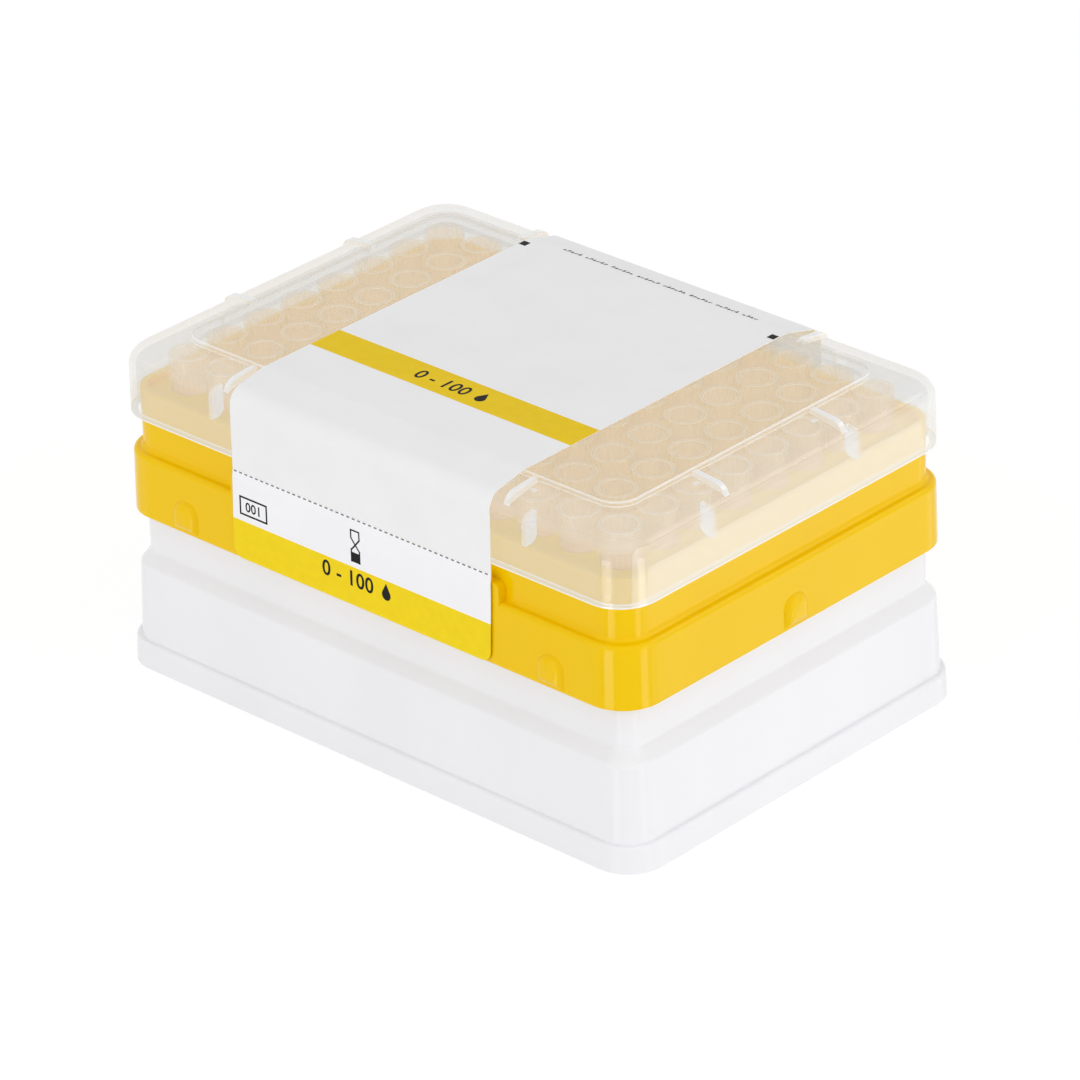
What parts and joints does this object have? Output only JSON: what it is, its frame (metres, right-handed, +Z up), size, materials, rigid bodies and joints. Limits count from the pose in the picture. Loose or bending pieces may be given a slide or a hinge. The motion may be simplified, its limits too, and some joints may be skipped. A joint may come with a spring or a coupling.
{
  "type": "box of pipette tips",
  "caption": "Hinged laboratory box of pipette tips: a white base box, a tip tray with upright tips, a clear lid and a paper band label.",
  "frame": {"origin": "middle of the foot's lower face", "axes": "+X along the long side, +Y from the label's printed front to the hinges at the back, +Z up"},
  "size_m": [0.1204, 0.0848, 0.0621],
  "materials": {
    "base_plastic": "satin translucent white polypropylene",
    "tray_plastic": "glossy yellow polypropylene",
    "lid_plastic": "clear polypropylene",
    "label_paper": "coated white paper with fields of colour",
    "tip_plastic": "natural polypropylene"
  },
  "bodies": {
    "base": {"base_box": "base_plastic", "tip_tray": "tray_plastic", "label_lower": "label_paper", "tips_column_01": "tip_plastic", "tips_column_02": "tip_plastic", "tips_column_03": "tip_plastic", "tips_column_04": "tip_plastic", "tips_column_05": "tip_plastic", "tips_column_06": "tip_plastic", "tips_column_07": "tip_plastic", "tips_column_08": "tip_plastic", "tips_column_09": "tip_plastic", "tips_column_10": "tip_plastic", "tips_column_11": "tip_plastic", "tips_column_12": "tip_plastic"},
    "lid": {"lid": "lid_plastic", "label_upper": "label_paper"}
  },
  "joints": [
    {"name": "lid_hinge", "type": "hinge", "parent": "base", "child": "lid", "pos_m": [0, 0.041, 0.045], "axis": [-1, 0, 0], "range_deg": [0, 110]}
  ]
}
